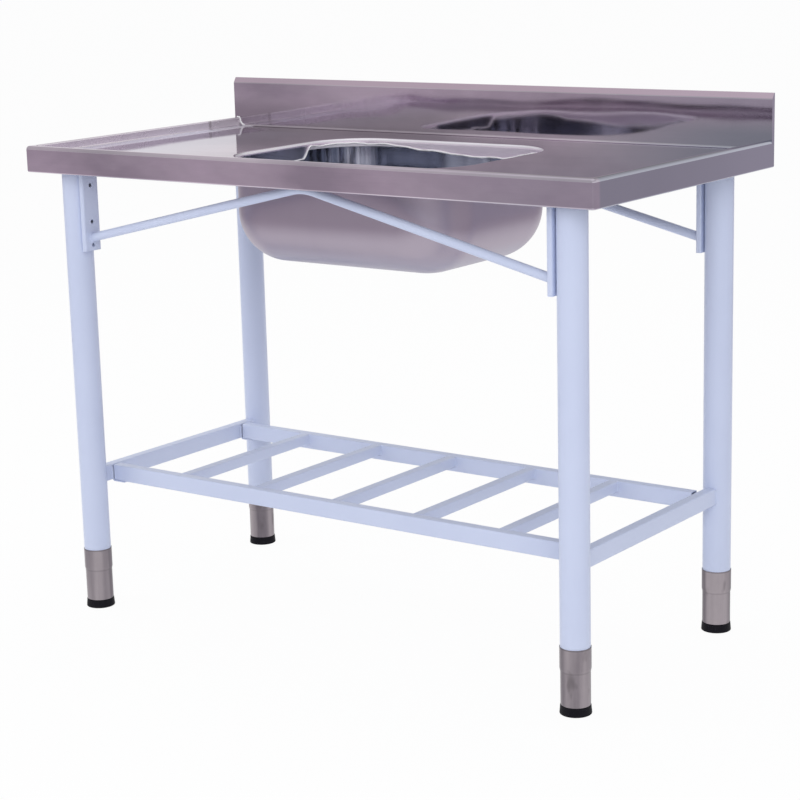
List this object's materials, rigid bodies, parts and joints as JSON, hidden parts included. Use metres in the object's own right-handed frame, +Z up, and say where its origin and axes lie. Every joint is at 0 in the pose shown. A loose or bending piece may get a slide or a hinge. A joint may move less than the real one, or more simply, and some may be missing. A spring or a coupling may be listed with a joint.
{
  "type": "commercial kitchen sink",
  "caption": "Freestanding steel kitchen sink: set-down worktop with a drawn bowl and rear upstand, on painted legs with braces, a slatted shelf and levelling feet.",
  "frame": {"origin": "on the floor below the middle of the worktop", "axes": "+X along the worktop to the right, +Y to the back with the upstand, +Z up"},
  "size_m": [1.2, 0.6, 0.956],
  "materials": {
    "worktop_steel": "satin, brushed along its length",
    "bowl_steel": "polished inside, satin outside",
    "painted_frame": "glossy powder coat",
    "galvanised_steel": "galvanised, dull",
    "sleeve_steel": "satin, mottled",
    "zinc_steel": "bright zinc plate",
    "foot_plastic": "black, fine grain",
    "insert_nylon": "black"
  },
  "bodies": {
    "stand": {"bowl": "bowl_steel", "brace_front": "painted_frame", "brace_rear": "painted_frame", "bracket_front_left": "painted_frame", "bracket_front_right": "painted_frame", "bracket_rear_left": "painted_frame", "bracket_rear_right": "painted_frame", "bracket_screws": "zinc_steel", "deck_rib_left": "galvanised_steel", "deck_rib_right": "galvanised_steel", "foot_insert_front_left": "insert_nylon", "foot_insert_front_right": "insert_nylon", "foot_insert_rear_left": "insert_nylon", "foot_insert_rear_right": "insert_nylon", "foot_sleeve_front_left": "sleeve_steel", "foot_sleeve_front_right": "sleeve_steel", "foot_sleeve_rear_left": "sleeve_steel", "foot_sleeve_rear_right": "sleeve_steel", "leg_channel_left": "galvanised_steel", "leg_channel_right": "galvanised_steel", "leg_front_left": "painted_frame", "leg_front_right": "painted_frame", "leg_plate_bolts": "zinc_steel", "leg_plate_front_left": "painted_frame", "leg_plate_front_right": "painted_frame", "leg_plate_nuts": "zinc_steel", "leg_plate_rear_left": "painted_frame", "leg_plate_rear_right": "painted_frame", "leg_rear_left": "painted_frame", "leg_rear_right": "painted_frame", "shelf_front_rail": "painted_frame", "shelf_rear_rail": "painted_frame", "shelf_screws": "zinc_steel", "shelf_slat_1": "painted_frame", "shelf_slat_2": "painted_frame", "shelf_slat_3": "painted_frame", "shelf_slat_4": "painted_frame", "shelf_slat_5": "painted_frame", "shelf_support_front_left": "painted_frame", "shelf_support_front_right": "painted_frame", "shelf_support_rear_left": "painted_frame", "shelf_support_rear_right": "painted_frame", "side_rail_left": "painted_frame", "side_rail_right": "painted_frame", "worktop": "worktop_steel"},
    "foot_base_front_left": {"foot_base_front_left": "foot_plastic"},
    "foot_base_front_right": {"foot_base_front_right": "foot_plastic"},
    "foot_base_rear_left": {"foot_base_rear_left": "foot_plastic"},
    "foot_base_rear_right": {"foot_base_rear_right": "foot_plastic"},
    "foot_stem_front_left": {"foot_stem_front_left": "zinc_steel"},
    "foot_stem_front_right": {"foot_stem_front_right": "zinc_steel"},
    "foot_stem_rear_left": {"foot_stem_rear_left": "zinc_steel"},
    "foot_stem_rear_right": {"foot_stem_rear_right": "zinc_steel"}
  },
  "joints": [
    {"name": "foot_slide_front_left", "type": "slide", "parent": "stand", "child": "foot_stem_front_left", "axis": [0, 0, -1], "range_m": [0, 0.0245]},
    {"name": "foot_turn_front_left", "type": "hinge", "parent": "foot_stem_front_left", "child": "foot_base_front_left", "pos_m": [-0.5285, -0.2465, 0], "axis": [0, 0, -1], "range_deg": [0, 5040]},
    {"name": "foot_slide_front_right", "type": "slide", "parent": "stand", "child": "foot_stem_front_right", "axis": [0, 0, -1], "range_m": [0, 0.0245]},
    {"name": "foot_turn_front_right", "type": "hinge", "parent": "foot_stem_front_right", "child": "foot_base_front_right", "pos_m": [0.5285, -0.2465, 0], "axis": [0, 0, -1], "range_deg": [0, 5040]},
    {"name": "foot_slide_rear_left", "type": "slide", "parent": "stand", "child": "foot_stem_rear_left", "axis": [0, 0, -1], "range_m": [0, 0.0245]},
    {"name": "foot_turn_rear_left", "type": "hinge", "parent": "foot_stem_rear_left", "child": "foot_base_rear_left", "pos_m": [-0.5285, 0.238, 0], "axis": [0, 0, -1], "range_deg": [0, 5040]},
    {"name": "foot_slide_rear_right", "type": "slide", "parent": "stand", "child": "foot_stem_rear_right", "axis": [0, 0, -1], "range_m": [0, 0.0245]},
    {"name": "foot_turn_rear_right", "type": "hinge", "parent": "foot_stem_rear_right", "child": "foot_base_rear_right", "pos_m": [0.5285, 0.238, 0], "axis": [0, 0, -1], "range_deg": [0, 5040]}
  ],
  "couplings": [
    {"joint": "foot_slide_front_left", "follows": "foot_turn_front_left", "m_per_rad": 0.00027852},
    {"joint": "foot_slide_front_right", "follows": "foot_turn_front_right", "m_per_rad": 0.00027852},
    {"joint": "foot_slide_rear_left", "follows": "foot_turn_rear_left", "m_per_rad": 0.00027852},
    {"joint": "foot_slide_rear_right", "follows": "foot_turn_rear_right", "m_per_rad": 0.00027852}
  ]
}
